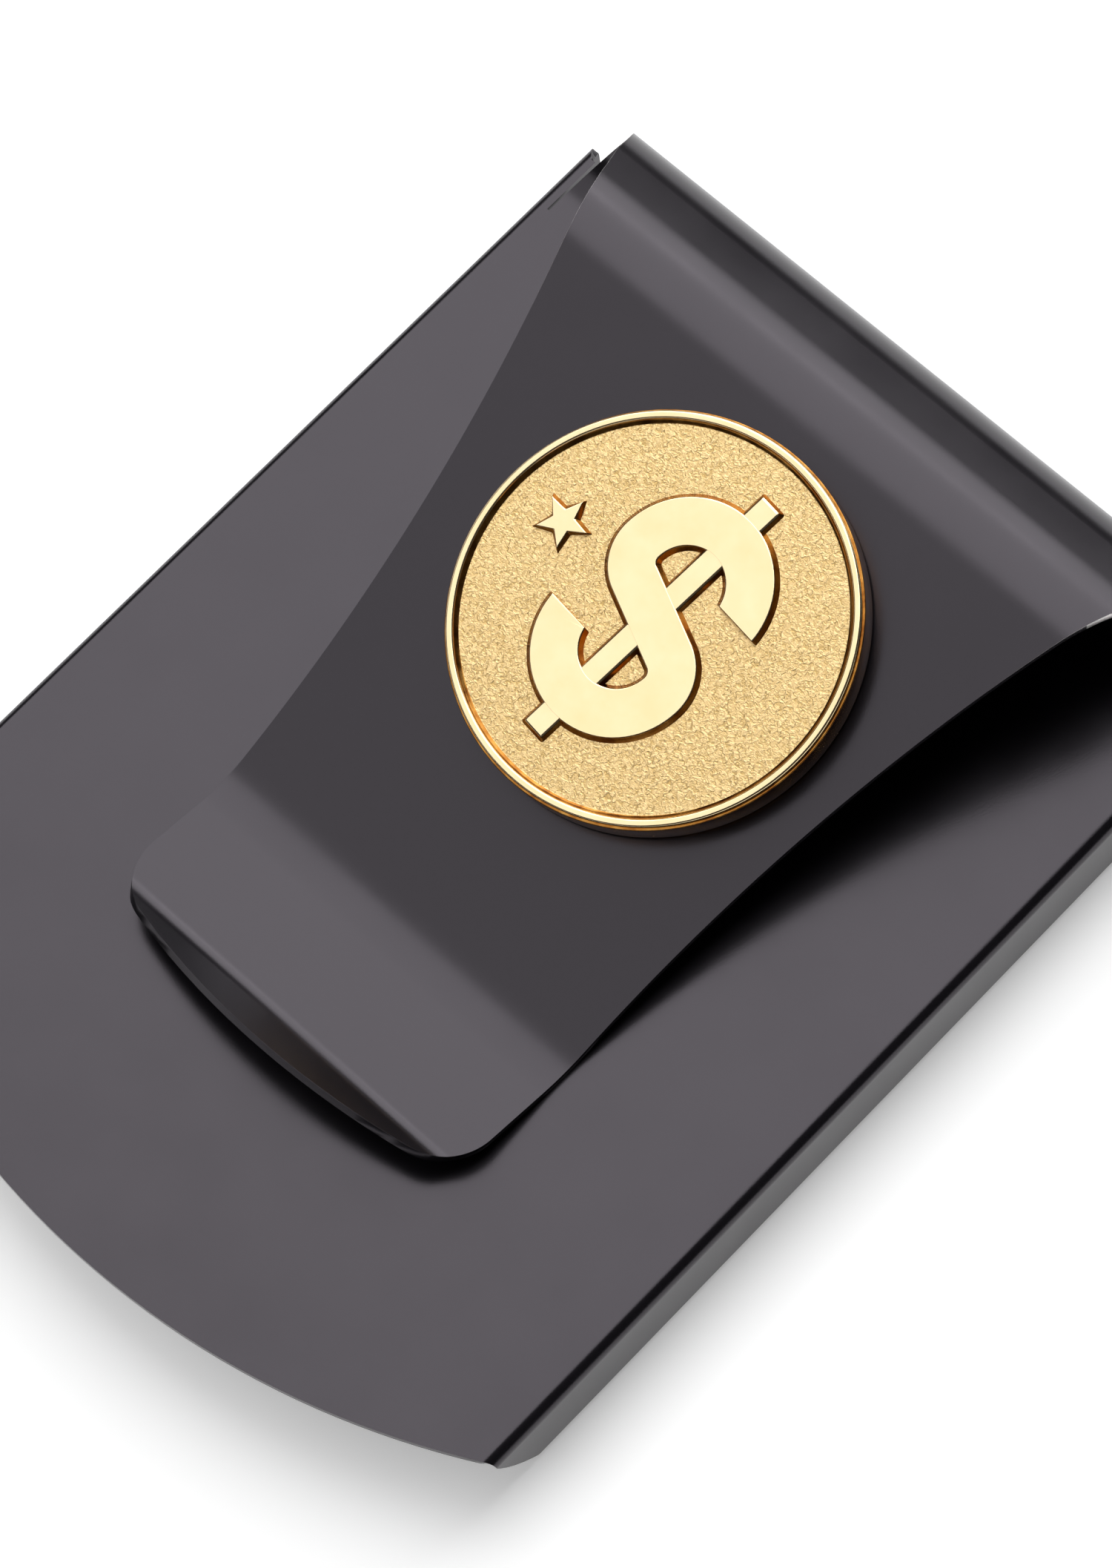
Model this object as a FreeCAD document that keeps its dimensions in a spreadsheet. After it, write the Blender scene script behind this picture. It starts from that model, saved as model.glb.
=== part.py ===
import FreeCAD, Part
import math
import os
import Sketcher

# Money clip and card holder.
#
# One blank of thin spring steel is formed into a back plate with a rail down each side, a spring fold at
# the top and a tapering arm that comes back over the plate. A gold medallion is glued to the arm.
#
# Frame: millimetres. X across the clip, +Y from the plate's rounded end towards the fold, +Z from the
# rails' undersides towards the arm. The origin is on the surface the clip rests on, under its middle.

SIZES = {
    # the formed sheet
    "length": 74.5,
    "width": 55.5,
    "sheet": 0.5,
    # back plate and card rails
    "end_arc_radius": 56,
    "rail_height": 6.1,
    "rail_bend": 0.8,
    "rail_lip": 3.0,
    "rail_foot_radius": 15,
    "rail_foot_setback": 3.8,
    "rail_head_radius": 1.0,
    "rail_head_setback": 0.45,
    "rail_head_width": 1.1,
    "notch_width": 0.15,
    "notch_depth": 1.0,
    # spring fold
    "fold_radius": 4.75,
    # arm, from the fold to the tip
    "rise_angle": 26,
    "rise_length": 2.3,
    "shoulder_radius": 7.7,
    "ramp_angle": 14.6,
    "contact_gap": 0.1,
    "contact_radius": 8,
    "lip_angle": 12,
    "lip_length": 6.7,
    "curl_radius": 2.5,
    "curl_angle": 38,
    "curl_length": 2.2,
    # arm outline, seen from above
    "tongue_share": 0.5118,
    "flare_radius": 135,
    "flare_setback": 2.4,
    "tip_arc_radius": 50,
    "tip_corner_radius": 4,
    # medallion and the film that bonds it
    "medallion_diameter": 25.8,
    "medallion_thickness": 2.8,
    "medallion_setback": 13.75,
    "medallion_offset": 0.85,
    "rim_width": 0.5,
    "rim_height": 0.35,
    "rim_ledge": 0.15,
    "rim_ledge_depth": 0.45,
    "rim_slope": 0.15,
    "rim_round": 0.15,
    "back_chamfer": 0.3,
    "adhesive_thickness": 0.15,
    "adhesive_margin": 1.2,
    # raised dollar sign and star on the medallion
    "dollar_height": 16.5,
    "dollar_width": 11,
    "stroke_width": 3.1,
    "spine_angle": 18,
    "hook_rise": 0.6,
    "bar_length": 19.4,
    "bar_width": 1.5,
    "star_radius": 1.7,
    "star_offset": 8.3,
    "sign_turn": 7,
}

# Places worked out from the sizes. Angles are in degrees.
PLACES = {
    "half_width": "=sizes.width / 2",
    "plate_end": "=-sizes.length / 2",
    "plate_under": "=sizes.rail_height - sizes.sheet",
    "end_arc_y": "=plate_end + sizes.end_arc_radius",
    "rail_foot_y": "=end_arc_y - sqrt(pow(sizes.end_arc_radius; 2) - pow(half_width; 2))",
    "rail_head_y": "=sizes.length / 2 - sizes.rail_head_setback",
    "rail_head_x": "=half_width - sizes.rail_head_width",
    "fold_foot_x": "=rail_head_x - sizes.notch_width",
    "fold_y": "=sizes.length / 2 - sizes.fold_radius",
    "fold_z": "=plate_under + sizes.fold_radius",
    "notch_y": "=fold_y - sizes.notch_depth",
    "root_y": "=fold_y + sizes.fold_radius * sin(sizes.rise_angle * 1 deg)",
    "root_z": "=fold_z + sizes.fold_radius * cos(sizes.rise_angle * 1 deg)",
    "crest_y": "=root_y - sizes.rise_length * cos(sizes.rise_angle * 1 deg)",
    "crest_z": "=root_z + sizes.rise_length * sin(sizes.rise_angle * 1 deg)",
    "ramp_y": "=crest_y - sizes.shoulder_radius"
    " * (sin(sizes.rise_angle * 1 deg) + sin(sizes.ramp_angle * 1 deg))",
    "ramp_z": "=crest_z + sizes.shoulder_radius"
    " * (cos(sizes.ramp_angle * 1 deg) - cos(sizes.rise_angle * 1 deg))",
    "contact_z": "=sizes.rail_height + sizes.contact_gap + sizes.sheet",
    "ramp_end_z": "=contact_z + sizes.contact_radius * (1 - cos(sizes.ramp_angle * 1 deg))",
    "ramp_end_y": "=ramp_y - (ramp_z - ramp_end_z) / tan(sizes.ramp_angle * 1 deg)",
    "contact_y": "=ramp_end_y - sizes.contact_radius * sin(sizes.ramp_angle * 1 deg)",
    "lip_y": "=contact_y - sizes.contact_radius * sin(sizes.lip_angle * 1 deg)",
    "lip_z": "=contact_z + sizes.contact_radius * (1 - cos(sizes.lip_angle * 1 deg))",
    "curl_y": "=lip_y - sizes.lip_length * cos(sizes.lip_angle * 1 deg)",
    "curl_z": "=lip_z + sizes.lip_length * sin(sizes.lip_angle * 1 deg)",
    "curl_end_y": "=curl_y - sizes.curl_radius"
    " * (sin(sizes.curl_angle * 1 deg) - sin(sizes.lip_angle * 1 deg))",
    "curl_end_z": "=curl_z + sizes.curl_radius"
    " * (cos(sizes.lip_angle * 1 deg) - cos(sizes.curl_angle * 1 deg))",
    "tip_y": "=curl_end_y - sizes.curl_length * cos(sizes.curl_angle * 1 deg)",
    "tip_z": "=curl_end_z + sizes.curl_length * sin(sizes.curl_angle * 1 deg)",
    "tongue_x": "=sizes.tongue_share * half_width",
    "flare_y": "=contact_y - sizes.flare_setback",
    "root_x": "=tongue_x + sizes.flare_radius"
    " - sqrt(pow(sizes.flare_radius; 2) - pow(root_y - flare_y; 2))",
    "fold_taper": "=(fold_foot_x - root_x) / (root_z - plate_under)",
    "tip_arc_y": "=tip_y + sizes.tip_arc_radius",
    "corner_x": "=tongue_x - sizes.tip_corner_radius",
    "corner_y": "=tip_arc_y - sqrt(pow(sizes.tip_arc_radius - sizes.tip_corner_radius; 2)"
    " - pow(corner_x; 2))",
    "corner_share": "=sizes.tip_arc_radius / (sizes.tip_arc_radius - sizes.tip_corner_radius)",
    "corner_end_x": "=corner_x * corner_share",
    "corner_end_y": "=tip_arc_y - (tip_arc_y - corner_y) * corner_share",
    "medallion_radius": "=sizes.medallion_diameter / 2",
    "medallion_y": "=ramp_y - sizes.medallion_setback",
    "medallion_z": "=ramp_z - sizes.medallion_setback * tan(sizes.ramp_angle * 1 deg)",
    "medallion_lift_y": "=medallion_y - sizes.adhesive_thickness * sin(sizes.ramp_angle * 1 deg)",
    "medallion_lift_z": "=medallion_z + sizes.adhesive_thickness * cos(sizes.ramp_angle * 1 deg)",
    "field_z": "=sizes.medallion_thickness - sizes.rim_height",
    "rim_edge": "=medallion_radius - sizes.rim_ledge",
    "half_stroke": "=sizes.stroke_width / 2",
    "bowl_radius": "=sizes.dollar_width / 2 - half_stroke",
    "bowl_y": "=sizes.dollar_height / 2 - half_stroke - bowl_radius",
    "waist_radius": "=(bowl_y * cos(sizes.spine_angle * 1 deg)"
    " - bowl_radius * sin(sizes.spine_angle * 1 deg)) / (1 - sin(sizes.spine_angle * 1 deg))",
    "waist_x": "=bowl_radius - waist_radius",
    "hook_y": "=bowl_y + sizes.hook_rise",
}

doc = FreeCAD.newDocument("money_clip")
sizes = doc.addObject("Spreadsheet::Sheet", "sizes")
places = doc.addObject("Spreadsheet::Sheet", "places")
parts = []


def fill_sheet(sheet, cells):
    """Write one row per value: its name, and the value in a cell that carries the name as alias."""
    for row, (name, content) in enumerate(cells.items(), start=1):
        sheet.set(f"A{row}", name)
        sheet.set(f"B{row}", str(content))
        sheet.setAlias(f"B{row}", name)
    doc.recompute()


def value(expression):
    """What an expression on the two sheets comes to, as a plain number."""
    result = places.evalExpression(expression)
    return float(getattr(result, "Value", result))


def new_body(name):
    """An empty body, which is one piece of the clip."""
    body = doc.addObject("PartDesign::Body", name)
    body.Label = name
    parts.append(body)
    return body


def new_sketch(body, name, plane, offset=None):
    """A sketch on one of the body's own origin planes, moved along the plane's normal by an expression."""
    sketch = body.newObject("Sketcher::SketchObject", name)
    origin_plane = [item for item in body.Origin.OriginFeatures if item.Role == plane]
    sketch.AttachmentSupport = [(origin_plane[0], "")]
    sketch.MapMode = "FlatFace"
    if offset:
        sketch.setExpression("AttachmentOffset.Base.z", offset)
    return sketch


def bind(sketch, constraint, expression):
    """Add a constraint whose value comes from an expression."""
    index = sketch.addConstraint(constraint)
    sketch.setExpression(f"Constraints[{index}]", expression)


def short_arc(start, end, radius, turn):
    """The arc from start to end that turns left (turn 1) or right (turn -1), drawn anticlockwise."""
    chord = end - start
    normal = FreeCAD.Vector(-chord.y, chord.x, 0) / chord.Length
    rise = math.sqrt(radius**2 - (chord.Length / 2) ** 2)
    centre = (start + end) / 2 + normal * turn * rise
    crown = centre - normal * turn * radius
    if turn > 0:
        return Part.Arc(start, crown, end)
    return Part.Arc(end, crown, start)


def draw_loop(sketch, stations):
    """A closed outline, held by expressions.

    A station (x, y) starts a line to the next station and (x, y, radius, turn) starts an arc, which turns
    left for turn 1 and right for turn -1.
    """
    corners = [FreeCAD.Vector(value(station[0]), value(station[1]), 0) for station in stations]
    starts = []
    ends = []
    for number, station in enumerate(stations):
        start = corners[number]
        end = corners[(number + 1) % len(corners)]
        start_point, end_point = 1, 2
        if len(station) == 2:
            edge = sketch.addGeometry(Part.LineSegment(start, end), False)
        else:
            radius, turn = station[2:]
            edge = sketch.addGeometry(short_arc(start, end, value(radius), turn), False)
            bind(sketch, Sketcher.Constraint("Radius", edge, value(radius)), radius)
            if turn < 0:
                start_point, end_point = 2, 1
        for kind, expression in (("DistanceX", station[0]), ("DistanceY", station[1])):
            held = Sketcher.Constraint(kind, -1, 1, edge, start_point, value(expression))
            bind(sketch, held, expression)
        starts.append((edge, start_point))
        ends.append((edge, end_point))
    for number, end in enumerate(ends):
        following = starts[(number + 1) % len(starts)]
        sketch.addConstraint(Sketcher.Constraint("Coincident", *end, *following))


def add_feature(body, kind, name, sketch, **settings):
    """A feature made from a sketch. Text settings are expressions and the others are set as they are."""
    doc.recompute()
    feature = body.newObject(f"PartDesign::{kind}", name)
    feature.Profile = sketch
    for key, setting in settings.items():
        if isinstance(setting, str):
            feature.setExpression(key, setting)
        else:
            setattr(feature, key, setting)
    body.Tip = feature
    doc.recompute()
    return feature


def cut_through(body, name, sketch):
    """Remove everything in front of and behind a sketched area."""
    before = body.Shape.Volume
    pocket = add_feature(body, "Pocket", name, sketch, Midplane=True, Length="2 * sizes.length")
    if not body.Shape.Volume < before:
        raise RuntimeError(f"{name} removes nothing")
    return pocket


def minus(expression):
    """The same expression with its sign turned round."""
    return f"-({expression})"


def mirrored(stations):
    """The same straight-sided outline on the other side of the clip's middle."""
    return [(minus(x), z) for x, z in reversed(stations)]


def make_back_plate():
    """Plate, two rails and two lips: one folded section along Y, then trimmed at both ends."""
    body = new_body("back_plate")
    section = new_sketch(body, "channel_section", "XZ_Plane", "-places.rail_head_y")
    outer, inner = "sizes.rail_bend", "sizes.rail_bend - sizes.sheet"
    side, bend = "places.half_width", "places.half_width - sizes.rail_bend"
    wall = "places.half_width - sizes.sheet"
    lip = "places.half_width - sizes.rail_lip"
    top, under = "sizes.rail_height", "places.plate_under"
    low, high = "sizes.rail_bend", "sizes.rail_height - sizes.rail_bend"
    draw_loop(
        section,
        [
            (lip, "0"),
            (bend, "0", outer, 1),
            (side, low),
            (side, high, outer, 1),
            (bend, top),
            (minus(bend), top, outer, 1),
            (minus(side), high),
            (minus(side), low, outer, 1),
            (minus(bend), "0"),
            (minus(lip), "0"),
            (minus(lip), "sizes.sheet"),
            (minus(bend), "sizes.sheet", inner, -1),
            (minus(wall), low),
            (minus(wall), high, inner, -1),
            (minus(bend), under),
            (bend, under, inner, -1),
            (wall, high),
            (wall, low, inner, -1),
            (bend, "sizes.sheet"),
            (lip, "sizes.sheet"),
        ],
    )
    add_feature(body, "Pad", "channel", section, Length="places.rail_head_y - places.plate_end")
    cut_through(body, "end_arc_cut", end_arc_outline(body))
    cut_through(body, "rail_end_cut", rail_end_outline(body))
    notches = new_sketch(body, "fold_notches", "XY_Plane", "sizes.rail_height")
    beyond = "places.rail_head_y + 1"
    draw_loop(
        notches,
        [
            ("places.fold_foot_x", "places.notch_y"),
            ("places.rail_head_x", "places.notch_y"),
            ("places.rail_head_x", beyond),
            ("-places.rail_head_x", beyond),
            ("-places.rail_head_x", "places.notch_y"),
            ("-places.fold_foot_x", "places.notch_y"),
            ("-places.fold_foot_x", "places.fold_y"),
            ("places.fold_foot_x", "places.fold_y"),
        ],
    )
    add_feature(body, "Pocket", "fold_notch_cut", notches, Length="sizes.rail_height / 2")
    return body


def end_arc_outline(body):
    """What lies outside the plate's rounded end, seen from above."""
    sketch = new_sketch(body, "end_arc", "XY_Plane")
    reach = "places.half_width + 1"
    arc_y = f"places.end_arc_y - sqrt(pow(sizes.end_arc_radius; 2) - pow({reach}; 2))"
    beyond = "places.plate_end - 1"
    draw_loop(
        sketch,
        [
            (minus(reach), arc_y, "sizes.end_arc_radius", 1),
            (reach, arc_y),
            (reach, beyond),
            (minus(reach), beyond),
        ],
    )
    return sketch


def rail_end_outline(body):
    """What trims the rails' ends, seen from the side: a sloping foot and two rounded head corners."""
    sketch = new_sketch(body, "rail_ends", "YZ_Plane")
    foot_z = "sizes.rail_height - sizes.rail_bend"
    foot_y = "places.rail_foot_y"
    beyond = "places.plate_end - 1"
    draw_loop(
        sketch,
        [
            (foot_y, foot_z, "sizes.rail_foot_radius", 1),
            (f"{foot_y} + sizes.rail_foot_setback", "0"),
            (f"{foot_y} + sizes.rail_foot_setback", "-1"),
            (beyond, "-1"),
            (beyond, foot_z),
        ],
    )
    head, radius = "places.rail_head_y", "sizes.rail_head_radius"
    top = "sizes.rail_height"
    draw_loop(
        sketch,
        [
            (head, f"{top} - {radius}", radius, 1),
            (f"{head} - {radius}", top),
            (f"{head} - {radius}", f"{top} + 1"),
            (f"{head} + 1", f"{top} + 1"),
            (f"{head} + 1", f"{top} - {radius}"),
        ],
    )
    draw_loop(
        sketch,
        [
            (f"{head} - {radius}", "0", radius, 1),
            (head, radius),
            (f"{head} + 1", radius),
            (f"{head} + 1", "-1"),
            (f"{head} - {radius}", "-1"),
        ],
    )
    return sketch


def make_spring_fold():
    """The sheet turned over on itself above the plate, with sides that lean in towards the arm."""
    body = new_body("spring_fold")
    section = new_sketch(body, "fold_section", "YZ_Plane")
    inner = "sizes.fold_radius - sizes.sheet"
    draw_loop(
        section,
        [
            ("places.fold_y", "places.plate_under", "sizes.fold_radius", 1),
            ("places.root_y", "places.root_z"),
            (*under("root", "sizes.rise_angle"), inner, -1),
            ("places.fold_y", "sizes.rail_height"),
        ],
    )
    add_feature(body, "Pad", "fold", section, Midplane=True, Length="2 * places.fold_foot_x")
    sides = new_sketch(body, "fold_sides", "XZ_Plane")
    beyond = "places.fold_foot_x + 2"
    right_side = [
        ("places.fold_foot_x + places.fold_taper", "places.plate_under - 1"),
        (beyond, "places.plate_under - 1"),
        (beyond, "places.root_z + 1"),
        ("places.root_x - places.fold_taper", "places.root_z + 1"),
    ]
    draw_loop(sides, right_side)
    draw_loop(sides, mirrored(right_side))
    cut_through(body, "fold_side_cut", sides)
    return body


def under(place, angle):
    """The arm's under surface straight below a named place, where the sheet climbs at an angle."""
    return (
        f"places.{place}_y - sizes.sheet * sin(({angle}) * 1 deg)",
        f"places.{place}_z - sizes.sheet * cos(({angle}) * 1 deg)",
    )


def make_clip_arm():
    """The arm from fold to tip: a bent strip cut to its tapering outline."""
    body = new_body("clip_arm")
    section = new_sketch(body, "arm_section", "YZ_Plane")
    rise, ramp = "sizes.rise_angle", "-sizes.ramp_angle"
    lip, curl = "sizes.lip_angle", "sizes.curl_angle"
    sheet = "sizes.sheet"
    draw_loop(
        section,
        [
            ("places.root_y", "places.root_z"),
            ("places.crest_y", "places.crest_z", "sizes.shoulder_radius", 1),
            ("places.ramp_y", "places.ramp_z"),
            ("places.ramp_end_y", "places.ramp_end_z", "sizes.contact_radius", -1),
            ("places.lip_y", "places.lip_z"),
            ("places.curl_y", "places.curl_z", "sizes.curl_radius", -1),
            ("places.curl_end_y", "places.curl_end_z"),
            ("places.tip_y", "places.tip_z"),
            under("tip", curl),
            (*under("curl_end", curl), f"sizes.curl_radius + {sheet}", 1),
            under("curl", lip),
            (*under("lip", lip), f"sizes.contact_radius + {sheet}", 1),
            under("ramp_end", ramp),
            (*under("ramp", ramp), f"sizes.shoulder_radius - {sheet}", -1),
            under("crest", rise),
            under("root", rise),
        ],
    )
    add_feature(body, "Pad", "arm_strip", section, Midplane=True, Length="sizes.width")
    outline = new_sketch(body, "arm_outline", "XY_Plane")
    beyond_root, beyond_tip = "places.root_y + 1", "places.tip_y - 2"
    draw_loop(
        outline,
        [
            ("-sizes.width", beyond_tip),
            ("sizes.width", beyond_tip),
            ("sizes.width", f"{beyond_root} + 1"),
            ("-sizes.width", f"{beyond_root} + 1"),
        ],
    )
    draw_loop(
        outline,
        [
            ("-places.corner_end_x", "places.corner_end_y", "sizes.tip_arc_radius", 1),
            ("places.corner_end_x", "places.corner_end_y", "sizes.tip_corner_radius", 1),
            ("places.tongue_x", "places.corner_y"),
            ("places.tongue_x", "places.flare_y", "sizes.flare_radius", -1),
            ("places.root_x", "places.root_y"),
            ("places.root_x", beyond_root),
            ("-places.root_x", beyond_root),
            ("-places.root_x", "places.root_y", "sizes.flare_radius", -1),
            ("-places.tongue_x", "places.flare_y"),
            ("-places.tongue_x", "places.corner_y", "sizes.tip_corner_radius", 1),
        ],
    )
    cut_through(body, "arm_outline_cut", outline)
    return body


def lay_on_ramp(piece, y, z):
    """Tilt a round piece to the arm's ramp and set the middle of its underside at a place there."""
    piece.Placement.Rotation = FreeCAD.Rotation(FreeCAD.Vector(1, 0, 0), value("sizes.ramp_angle"))
    piece.setExpression("Placement.Base.x", "sizes.medallion_offset")
    piece.setExpression("Placement.Base.y", y)
    piece.setExpression("Placement.Base.z", z)
    piece.setExpression("Placement.Rotation.Angle", "sizes.ramp_angle * 1 deg")


def make_adhesive_disc():
    """Thin round film that bonds the medallion to the arm."""
    disc = doc.addObject("Part::Cylinder", "adhesive_disc")
    disc.Label = "adhesive_disc"
    disc.setExpression("Radius", "places.medallion_radius - sizes.adhesive_margin")
    disc.setExpression("Height", "sizes.adhesive_thickness")
    lay_on_ramp(disc, "places.medallion_y", "places.medallion_z")
    parts.append(disc)
    return disc


def new_relief_sketch(body, name):
    """A sketch on the medallion's field, turned clockwise by the angle the die was set at."""
    sketch = new_sketch(body, name, "XY_Plane")
    turn = FreeCAD.Rotation(FreeCAD.Vector(0, 0, -1), value("sizes.sign_turn"))
    sketch.AttachmentOffset = FreeCAD.Placement(FreeCAD.Vector(), turn)
    sketch.setExpression("AttachmentOffset.Base.z", "places.field_z")
    sketch.setExpression("AttachmentOffset.Rotation.Angle", "sizes.sign_turn * 1 deg")
    return sketch


def make_medallion():
    """Struck disc with a raised rim, a sunk field, a raised dollar sign and a small star."""
    body = new_body("medallion")
    section = new_sketch(body, "rim_section", "XZ_Plane")
    thickness, chamfer = "sizes.medallion_thickness", "sizes.back_chamfer"
    edge, ledge_z = "places.rim_edge", "sizes.medallion_thickness - sizes.rim_ledge_depth"
    draw_loop(
        section,
        [
            ("0", "0"),
            (f"places.medallion_radius - {chamfer}", "0"),
            ("places.medallion_radius", chamfer),
            ("places.medallion_radius", ledge_z),
            (edge, ledge_z),
            (edge, f"{thickness} - sizes.rim_round", "sizes.rim_round", 1),
            (f"{edge} - sizes.rim_round", thickness),
            (f"{edge} - sizes.rim_width", thickness),
            (f"{edge} - sizes.rim_width - sizes.rim_slope", "places.field_z"),
            ("0", "places.field_z"),
        ],
    )
    add_feature(body, "Revolution", "blank", section, ReferenceAxis=(section, ["V_Axis"]))
    sign = new_relief_sketch(body, "dollar_curve")
    draw_loop(sign, dollar_stations())
    add_feature(body, "Pad", "dollar_curve_relief", sign, Length="sizes.rim_height")
    bar = new_relief_sketch(body, "dollar_bar")
    bar_x, bar_y = "sizes.bar_width / 2", "sizes.bar_length / 2"
    draw_loop(
        bar,
        [(minus(bar_x), minus(bar_y)), (bar_x, minus(bar_y)), (bar_x, bar_y), (minus(bar_x), bar_y)],
    )
    add_feature(body, "Pad", "dollar_bar_relief", bar, Length="sizes.rim_height")
    star = new_relief_sketch(body, "star")
    draw_loop(star, star_stations())
    add_feature(body, "Pad", "star_relief", star, Length="sizes.rim_height")
    lay_on_ramp(body, "places.medallion_lift_y", "places.medallion_lift_z")
    return body


def dollar_stations():
    """The curve of the dollar sign: two open bowls joined by a sloping spine, the same turned half round.

    The first half runs down the outside of the upper bowl and up to the lower bowl's open end.
    """
    outer = "places.bowl_radius + places.half_stroke"
    inner = "places.bowl_radius - places.half_stroke"
    waist_outer = "places.waist_radius + places.half_stroke"
    waist_inner = "places.waist_radius - places.half_stroke"
    across, down = "sin(sizes.spine_angle * 1 deg)", "cos(sizes.spine_angle * 1 deg)"
    hook_inner = f"sqrt(pow({inner}; 2) - pow(sizes.hook_rise; 2))"
    hook_outer = f"sqrt(pow({outer}; 2) - pow(sizes.hook_rise; 2))"
    half = [
        (hook_outer, "places.hook_y", outer, 1),
        (minus(outer), "places.bowl_y", waist_outer, 1),
        (
            f"-places.waist_x - ({waist_outer}) * {across}",
            f"places.bowl_y - ({waist_outer}) * {down}",
        ),
        (
            f"places.waist_x + ({waist_inner}) * {across}",
            f"-places.bowl_y + ({waist_inner}) * {down}",
            waist_inner,
            -1,
        ),
        (inner, "-places.bowl_y", inner, -1),
        (minus(hook_inner), "-places.hook_y"),
    ]
    turned = [(minus(x), minus(y), *arc) for x, y, *arc in half]
    return half + turned


def star_stations():
    """A five-pointed star with one point up."""
    points = 5
    inner_share = 0.42
    stations = []
    for number in range(2 * points):
        share = 1 if number % 2 == 0 else inner_share
        angle = 90 + 180 * number / points
        x = f"-sizes.star_offset + sizes.star_radius * {share} * cos({angle} * 1 deg)"
        y = f"sizes.star_radius * {share} * sin({angle} * 1 deg)"
        stations.append((x, y))
    return stations


def check_parts():
    """Stop if any object failed or any piece has no sound solid."""
    for item in doc.Objects:
        if "Invalid" in item.State or "Error" in item.State:
            raise RuntimeError(f"{item.Label} did not build: {item.State}")
    for part in parts:
        if part.Shape.isNull() or not part.Shape.isValid() or len(part.Shape.Solids) != 1:
            raise RuntimeError(f"{part.Label} is not one sound solid")


fill_sheet(sizes, SIZES)
fill_sheet(places, PLACES)
make_back_plate()
make_spring_fold()
make_clip_arm()
make_adhesive_disc()
make_medallion()
doc.recompute()
check_parts()
os.makedirs("parts", exist_ok=True)
for part in parts:
    part.Shape.exportStep(f"parts/{part.Label}.step")
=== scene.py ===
# %% [markdown]
# # A money clip with a card channel and a gold medallion
#
# The real clip is one flat blank of thin spring steel. Its sides are turned down and under to make rails
# that hold cards, and its top is folded over on itself so that a long arm presses banknotes against the
# plate. The steel is coated black, and a struck gold medallion is glued to the arm.
#
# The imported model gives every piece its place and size. Here each piece is made again with rounded edges,
# smooth bends and a finish that behaves like the real one.

import math

import bmesh
import bpy
from mathutils import Euler, Matrix, Vector


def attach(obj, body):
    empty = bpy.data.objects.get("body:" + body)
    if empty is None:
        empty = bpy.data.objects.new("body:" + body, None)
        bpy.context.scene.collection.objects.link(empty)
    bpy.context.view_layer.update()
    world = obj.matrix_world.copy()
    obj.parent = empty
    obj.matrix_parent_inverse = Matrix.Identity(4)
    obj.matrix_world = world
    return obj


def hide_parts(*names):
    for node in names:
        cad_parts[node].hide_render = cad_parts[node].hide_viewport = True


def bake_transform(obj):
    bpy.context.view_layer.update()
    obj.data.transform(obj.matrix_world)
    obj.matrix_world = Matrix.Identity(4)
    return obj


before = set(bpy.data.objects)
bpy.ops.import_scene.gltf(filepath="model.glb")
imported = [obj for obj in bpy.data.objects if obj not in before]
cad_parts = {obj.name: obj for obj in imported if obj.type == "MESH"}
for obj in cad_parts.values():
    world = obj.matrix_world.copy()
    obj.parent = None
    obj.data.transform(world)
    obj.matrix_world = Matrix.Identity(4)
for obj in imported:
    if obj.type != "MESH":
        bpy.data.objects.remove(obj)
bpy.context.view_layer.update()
MM = 0.001

# %% [markdown]
# ## The camera
#
# The clip lies turned on the table and is seen from above its right side with a long lens, as in a
# catalogue picture. The camera comes first, so that every later piece can be judged in the right view.

# %% Camera
camera_data = bpy.data.cameras.new("catalogue_camera")
camera_data.lens = 148.61
camera_data.sensor_width = 36
camera_data.clip_start = 0.01
camera_data.clip_end = 20
camera = bpy.data.objects.new("catalogue_camera", camera_data)
camera.location = Vector((125.13, -88.08, 366.08)) * MM
camera.rotation_euler = Euler([math.radians(turn) for turn in (22.838, 4.272, 43.603)])
bpy.context.scene.collection.objects.link(camera)
bpy.context.scene.camera = camera
print("camera distance, mm:", round(camera.location.length / MM))

# %% [markdown]
# ## Sizes of the formed sheet
#
# A bend is described the way a sheet-metal worker does it: where it starts, how tight it is and how far it
# turns. The sizes below are the ones the clip was drawn with, in millimetres, and every other place is
# worked out from them.

# %% Sheet sizes
LENGTH, WIDTH, SHEET = 74.5, 55.5, 0.5
RAIL_HEIGHT, RAIL_BEND, RAIL_LIP = 6.1, 0.8, 3.0
END_ARC_RADIUS = 56
FOLD_RADIUS = 4.75
RISE_ANGLE, RISE_LENGTH = math.radians(26), 2.3
SHOULDER_RADIUS, RAMP_ANGLE = 7.7, math.radians(14.6)
CONTACT_RADIUS, CONTACT_GAP = 8, 0.1
LIP_ANGLE, LIP_LENGTH = math.radians(12), 6.7
CURL_RADIUS, CURL_ANGLE, CURL_LENGTH = 2.5, math.radians(38), 2.2
RAIL_HEAD_SETBACK, RAIL_HEAD_WIDTH = 0.45, 1.1
NOTCH_WIDTH, NOTCH_DEPTH = 0.15, 1.0

half_width = WIDTH / 2
plate_end = -LENGTH / 2
rail_head_y = LENGTH / 2 - RAIL_HEAD_SETBACK
rail_head_x = half_width - RAIL_HEAD_WIDTH
fold_foot_x = rail_head_x - NOTCH_WIDTH
fold_y = LENGTH / 2 - FOLD_RADIUS
fold_z = RAIL_HEIGHT - SHEET + FOLD_RADIUS
notch_y = fold_y - NOTCH_DEPTH
print("fold centre, mm:", fold_y, fold_z)

# %% [markdown]
# ## Helpers for sheet metal
#
# A sheet is drawn as a surface without thickness first. Its leading edge is pulled straight with an
# extrusion or swung round a bend's axis with a spin, which is just how a folding tool works. The surface
# then gets its thickness in one step, and the cut edges are rounded a little, as tumbling leaves them.

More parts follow.
